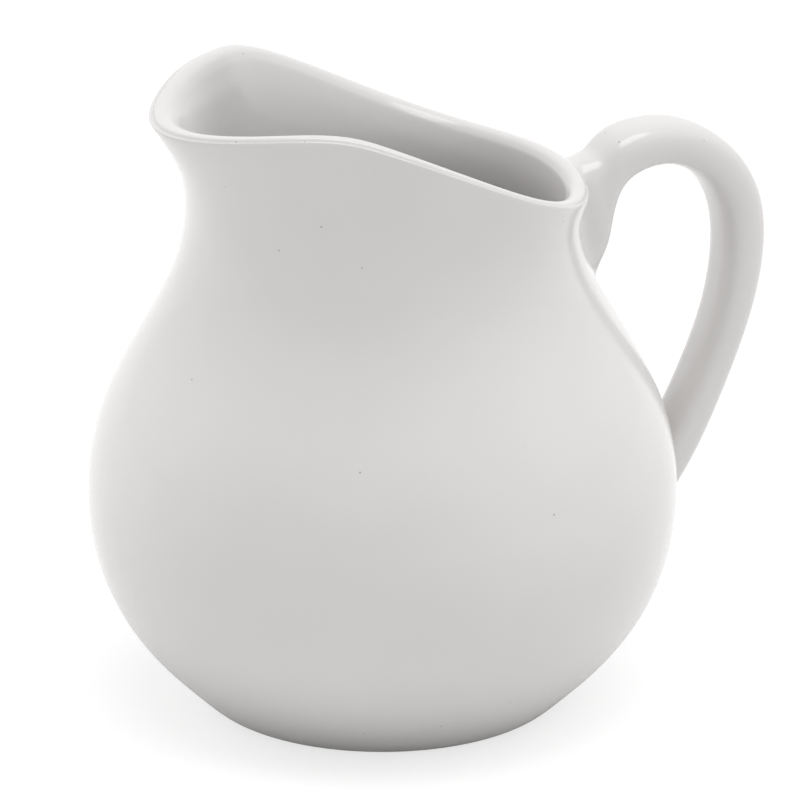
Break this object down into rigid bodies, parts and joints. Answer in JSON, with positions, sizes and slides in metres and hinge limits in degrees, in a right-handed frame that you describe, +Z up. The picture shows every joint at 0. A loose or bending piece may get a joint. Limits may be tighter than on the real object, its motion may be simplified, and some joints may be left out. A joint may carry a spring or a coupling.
{
  "type": "milk jug",
  "caption": "Small round-bellied porcelain milk jug with a pulled pouring spout, a sloping wavy rim and one looped handle, glazed plain white and empty.",
  "frame": {"origin": "on the round pot's axis, in the plane of the foot ring that the jug stands on", "axes": "+Z up, handle towards +X, spout towards -X; the XZ plane is the jug's mirror plane"},
  "size_m": [0.1094, 0.09, 0.099],
  "materials": {
    "porcelain": "white porcelain under a clear gloss glaze, bare on the foot ring"
  },
  "bodies": {
    "root": {"milk_jug": "porcelain"}
  },
  "joints": []
}
